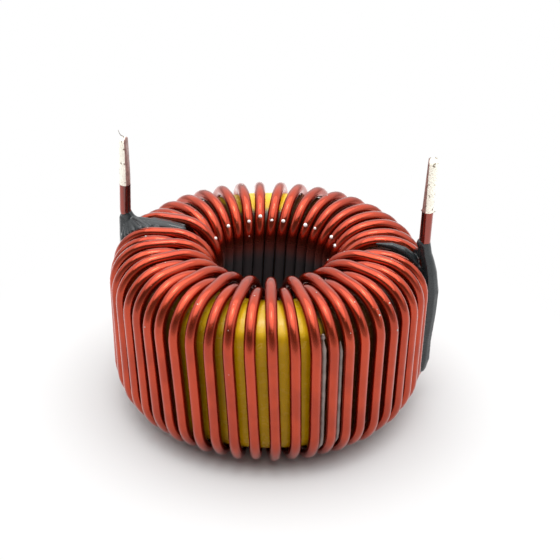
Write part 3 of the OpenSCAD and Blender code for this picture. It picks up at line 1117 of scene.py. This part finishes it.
class INDUCTOR_OT_tinning(bpy.types.Operator):
    """Make the tinned ends of the leads, lumpy, with a brown-pink strip on one side, and dipped by
    hand
    """

    bl_idname = "inductor.tinning"
    bl_label = "Tinning"

    RINGS = 90
    SIDES = 48
    RADIUS = 0.485 * MM
    # how round the tip is, and the share of the radius that is left at its end and the foot
    TIP = 0.3 * MM
    TIP_SHARE, FOOT_SHARE = 0.35, 0.93
    PLANE = {"left": 0.33 * MM, "right": 0.15 * MM}
    PLANE_SLOPE = 0.15
    # lumps as a share of the radius: where they are read, and the scale and part of each kind
    LUMPS = 0.06
    LUMPS_AT = 0.4
    LUMP_KINDS = ((1600, 0.6), (5200, 0.4))
    FOOT_EDGE, FOOT_WAVES = 0.05 * MM, 2.5
    # distance of the brown-pink strip's edge from the lead's axis, at the foot and at the tip
    STRIP_EDGE = {"left": (0.25 * MM, 0.05 * MM), "right": (0.15 * MM, 0.235 * MM)}
    STRIP_SOFT = 0.4 * MM
    # height along the tin, bearing, and how far each burr stands out and up
    BURRS = {
        "left": (),
        "right": (
            (0.02, 0, 0.18 * MM, 0.0),
            (0.02, 180, 0.10 * MM, 0.0),
            (1.0, 25, 0.05 * MM, 0.22 * MM),
            (1.0, 200, 0.0, 0.26 * MM),
        ),
    }
    BURR_WIDTH = 0.10 * MM
    # in mm from the left tip: the hair of tin
    HAIR = (
        (0.0, 0.0, -0.1),
        (-0.12, -0.02, 0.12),
        (-0.33, -0.04, 0.22),
        (-0.45, -0.04, 0.42),
        (-0.52, -0.05, 0.68),
    )
    HAIR_R = (0.05 * MM, 0.02 * MM)
    HAIR_SIDES = 8

    def execute(self, context):
        lay = Lay(context.scene.inductor_winding)
        c = context.scene.inductor_finish
        material = tinning(c)
        for side in lay.leads:
            tin = self.coat(side, lay)
            tin.data.materials.append(material)
            finish_piece(tin, "tinning", f"solder_{side}")
        tip = lay.lead_point("left", TIN_HIGH["left"].z)
        hair = path_object("tin_hair", [tip + Vector(step) * MM for step in self.HAIR])
        widths = even(len(self.HAIR), *self.HAIR_R)
        burnt = clear_varnish("burnt_tin", c.flux, 0.3)
        finish_piece(strand(hair, widths, burnt, self.HAIR_SIDES), "tinning")
        return {"FINISHED"}

    def taper(self, i, z, high):
        """Share of the radius that ring i has at a height"""
        if i == 0:
            return self.FOOT_SHARE
        if z <= high - self.TIP:
            return 1.0
        u = (z - high + self.TIP) / self.TIP
        return self.TIP_SHARE + (1 - self.TIP_SHARE) * math.sqrt(max(0.0, 1 - u * u))

    def coat(self, side, lay):
        """A skin of rings round the lead's axis, filed off towards the tip on the coil's side"""
        low, high = TIN_LOW[side].z, TIN_HIGH[side].z
        points, scraped, burnt = [], [], []
        inward = -1.0 if side == "right" else 1.0
        start, end = self.STRIP_EDGE[side]
        for i in range(self.RINGS + 1):
            t = i / self.RINGS
            z = low + (high - low) * t
            centre = lay.lead_point(side, z)
            radius = self.RADIUS * self.taper(i, z, high)
            filed = self.RADIUS - self.PLANE[side] * t
            strip = start + (end - start) * t
            for j in range(self.SIDES):
                f = 2 * math.pi * j / self.SIDES
                way = Vector((math.cos(f), math.sin(f), 0))
                read = centre + way * self.LUMPS_AT * MM
                grain = sum(noise.noise(read * scale) * part for scale, part in self.LUMP_KINDS)
                p = way * radius * (1 + self.LUMPS * grain)
                across = p.x * inward
                if across > filed:
                    p.x = inward * (filed + self.PLANE_SLOPE * (across - filed))
                edge = self.FOOT_EDGE * noise.noise(way * self.FOOT_WAVES) if i == 0 else 0.0
                burn = 0.0
                for height, bearing, reach, rise in self.BURRS[side]:
                    away = (f - math.radians(bearing) + math.pi) % (2 * math.pi) - math.pi
                    along = (t - height) * (high - low)
                    far = math.hypot(along, away * self.RADIUS) / self.BURR_WIDTH
                    near = math.exp(-far * far)
                    p += way * reach * near
                    edge += rise * near
                    burn = max(burn, near)
                points.append(centre + p + Vector((0, 0, edge)))
                scraped.append(0.5 + (p.x * inward - strip) / self.STRIP_SOFT)
                burnt.append(burn)
        faces = []
        for i in range(self.RINGS):
            for j in range(self.SIDES):
                a, b = i * self.SIDES + j, i * self.SIDES + (j + 1) % self.SIDES
                faces.append((a, b, b + self.SIDES, a + self.SIDES))
        faces.append(tuple(reversed(range(self.SIDES))))
        faces.append(tuple(range(self.RINGS * self.SIDES, (self.RINGS + 1) * self.SIDES)))
        tin = mesh_object(f"tinning_{side}", points, faces=faces)
        give(tin, "scraped", scraped)
        give(tin, "burnt", burnt)
        smooth(tin)
        return tin


# ---- stage


def floor_material(c):
    """Matt paper with the coil's shadow, which fades to white away from it for the camera"""
    material = bpy.data.materials.new("floor_paper")
    material.use_nodes = True
    n = ShaderTree(material.node_tree)
    n.tree.nodes.remove(n.tree.nodes["Principled BSDF"])
    camera = n.camera_ray()
    tone = n.step(camera, 0.0, 1.0, c.backdrop[0], INDUCTOR_OT_stage.PAPER_TO_CAMERA)
    paper = n.add("ShaderNodeBsdfDiffuse", Color=tone)
    place = n.add("ShaderNodeNewGeometry").outputs["Position"]
    away = n.add("ShaderNodeVectorMath", {"operation": "LENGTH"}, Vector=place).outputs["Value"]
    white = n.times(n.step(away, *INDUCTOR_OT_stage.WHITE_FROM), camera)
    n.whiten("ShaderNodeEmission", paper.outputs[0], white, "Material Output")
    return material


def studio_world(strength, light_side, dark_side, to_front):
    """A white room with a dark side where the camera stands, white to the camera"""
    world = bpy.data.worlds.new("studio")
    world.use_nodes = True
    n = ShaderTree(world.node_tree)
    way = n.add("ShaderNodeTexCoord").outputs["Generated"]
    split = n.add("ShaderNodeSeparateXYZ", Vector=way)

    def grey_ramp(stops):
        made = n.add("ShaderNodeValToRGB", Fac=split.outputs["Z"])
        elements = made.color_ramp.elements
        elements[0].position, elements[1].position = stops[0][0], stops[-1][0]
        for position, _ in stops[1:-1]:
            elements.new(position)
        for element, (_, grey) in zip(elements, stops):
            element.color = (grey, grey, grey, 1)
        return made.outputs["Color"]

    front = n.step(split.outputs["Y"], *to_front)
    room = n.tree.nodes["Background"]
    n.feed(room.inputs["Color"], n.mix(front, grey_ramp(light_side), grey_ramp(dark_side)))
    n.feed(room.inputs["Strength"], strength)
    n.whiten("ShaderNodeBackground", room.outputs[0], n.camera_ray(), "World Output")
    return world


class INDUCTOR_OT_stage(bpy.types.Operator):
    """Set up the floor, the room, the lights and the camera"""

    bl_idname = "inductor.stage"
    bl_label = "Stage"

    FLOOR = 1.5
    PAPER_TO_CAMERA = 0.57
    # distances from the axis, in metres, between which the paper fades to white
    WHITE_FROM = (0.018, 0.034)
    # upward part of the way in which the room is seen, and its brightness
    LIGHT_SIDE = ((0.0, 0.45), (0.2, 0.45), (0.4, 0.82), (0.8, 1.0), (1.0, 0.7))
    DARK_SIDE = ((0.0, 0.43), (0.24, 0.22), (0.4, 0.085), (0.66, 0.085), (0.8, 0.3), (0.92, 0.5))
    TO_FRONT = (-0.15, -0.6)
    SOFTBOX = 0.38
    SOFTBOX_CORE = 0.08
    SOFTBOX_PLACE = Vector((0.0, -0.035, 0.30))
    CORE_BELOW = Vector((0.0, 0.0, 0.005))
    GLINT_PLACE = Vector((0.10, -0.31, 0.30))
    GLINT_SIZE = 0.012
    LAMPS_AIM = Vector((0, 0, 0.01))
    SENSOR = 36.0  # width in mm, as the lens is
    CLIP = (0.01, 10.0)

    def execute(self, context):
        scene = context.scene
        stage = scene.inductor_stage
        scene.world = studio_world(stage.room, self.LIGHT_SIDE, self.DARK_SIDE, self.TO_FRONT)
        scene.view_settings.view_transform = "Standard"
        f = self.FLOOR
        corners = [(-f, -f, 0), (f, -f, 0), (f, f, 0), (-f, f, 0)]
        floor = mesh_object("floor", corners, faces=[(0, 1, 2, 3)])
        floor.data.materials.append(floor_material(scene.inductor_finish))
        self.softbox("softbox", self.SOFTBOX, stage.softbox, self.SOFTBOX_PLACE)
        core_place = self.SOFTBOX_PLACE - self.CORE_BELOW
        self.softbox("softbox_core", self.SOFTBOX_CORE, stage.core, core_place)
        self.lamp("glint", self.GLINT_SIZE, stage.glint, self.GLINT_PLACE)
        self.camera(scene, stage)
        return {"FINISHED"}

    def softbox(self, name, size, radiance, place):
        self.lamp(name, size, math.pi * size**2 * radiance, place)

    def lamp(self, name, size, power, place):
        """A square lamp of the given power, facing the coil"""
        lamp = bpy.data.lights.new(name, "AREA")
        lamp.shape = "SQUARE"
        lamp.size = size
        lamp.energy = power
        self.stand(placed(name, lamp), place, (self.LAMPS_AIM - place).to_track_quat("-Z", "Y"))

    def stand(self, obj, place, turn):
        obj.matrix_world = Matrix.Translation(place) @ turn.to_matrix().to_4x4()

    def camera(self, scene, stage):
        data = bpy.data.cameras.new("camera")
        data.sensor_width = self.SENSOR
        data.lens, data.shift_x, data.shift_y = stage.lens, stage.shift_x, stage.shift_y
        data.clip_start, data.clip_end = self.CLIP
        made = placed("camera", data)
        a, e = stage.camera_azimuth, stage.camera_elevation
        back = polar(math.cos(e), a, math.sin(e))
        target = Vector((0, 0, Lay(scene.inductor_winding).top / 2))
        roll = Matrix.Rotation(stage.camera_roll, 4, "Z").to_quaternion()
        turn = (-back).to_track_quat("-Z", "Y") @ roll
        self.stand(made, target + back * stage.camera_distance, turn)
        scene.camera = made


# ---- panel and run

OPERATORS = (
    INDUCTOR_OT_winding,
    INDUCTOR_OT_core,
    INDUCTOR_OT_varnish,
    INDUCTOR_OT_sleeving,
    INDUCTOR_OT_tinning,
    INDUCTOR_OT_stage,
)
GROUPS = {
    "inductor_winding": InductorWinding,
    "inductor_finish": InductorFinish,
    "inductor_stage": InductorStage,
}


class INDUCTOR_PT_panel(bpy.types.Panel):
    """Lists the steps and the settings of the inductor"""

    bl_idname = "INDUCTOR_PT_panel"
    bl_label = "Toroidal Inductor"
    bl_space_type = "VIEW_3D"
    bl_region_type = "UI"
    bl_category = "Inductor"

    def draw(self, context):
        column = self.layout.column(align=True)
        for operator in OPERATORS:
            column.operator(operator.bl_idname)
        for name, group in GROUPS.items():
            box = self.layout.box()
            for key in group.__annotations__:
                box.prop(getattr(context.scene, name), key)


def register():
    for name, group in GROUPS.items():
        bpy.utils.register_class(group)
        setattr(bpy.types.Scene, name, bpy.props.PointerProperty(type=group))
    for cls in (*OPERATORS, INDUCTOR_PT_panel):
        bpy.utils.register_class(cls)


def unregister():
    for cls in (INDUCTOR_PT_panel, *reversed(OPERATORS)):
        bpy.utils.unregister_class(cls)
    for name, group in GROUPS.items():
        delattr(bpy.types.Scene, name)
        bpy.utils.unregister_class(group)


def main():
    register()
    bpy.ops.inductor.stage()
    bpy.ops.inductor.winding()
    bpy.ops.inductor.core()
    bpy.ops.inductor.varnish()
    bpy.ops.inductor.sleeving()
    bpy.ops.inductor.tinning()


if __name__ == "__main__":
    main()
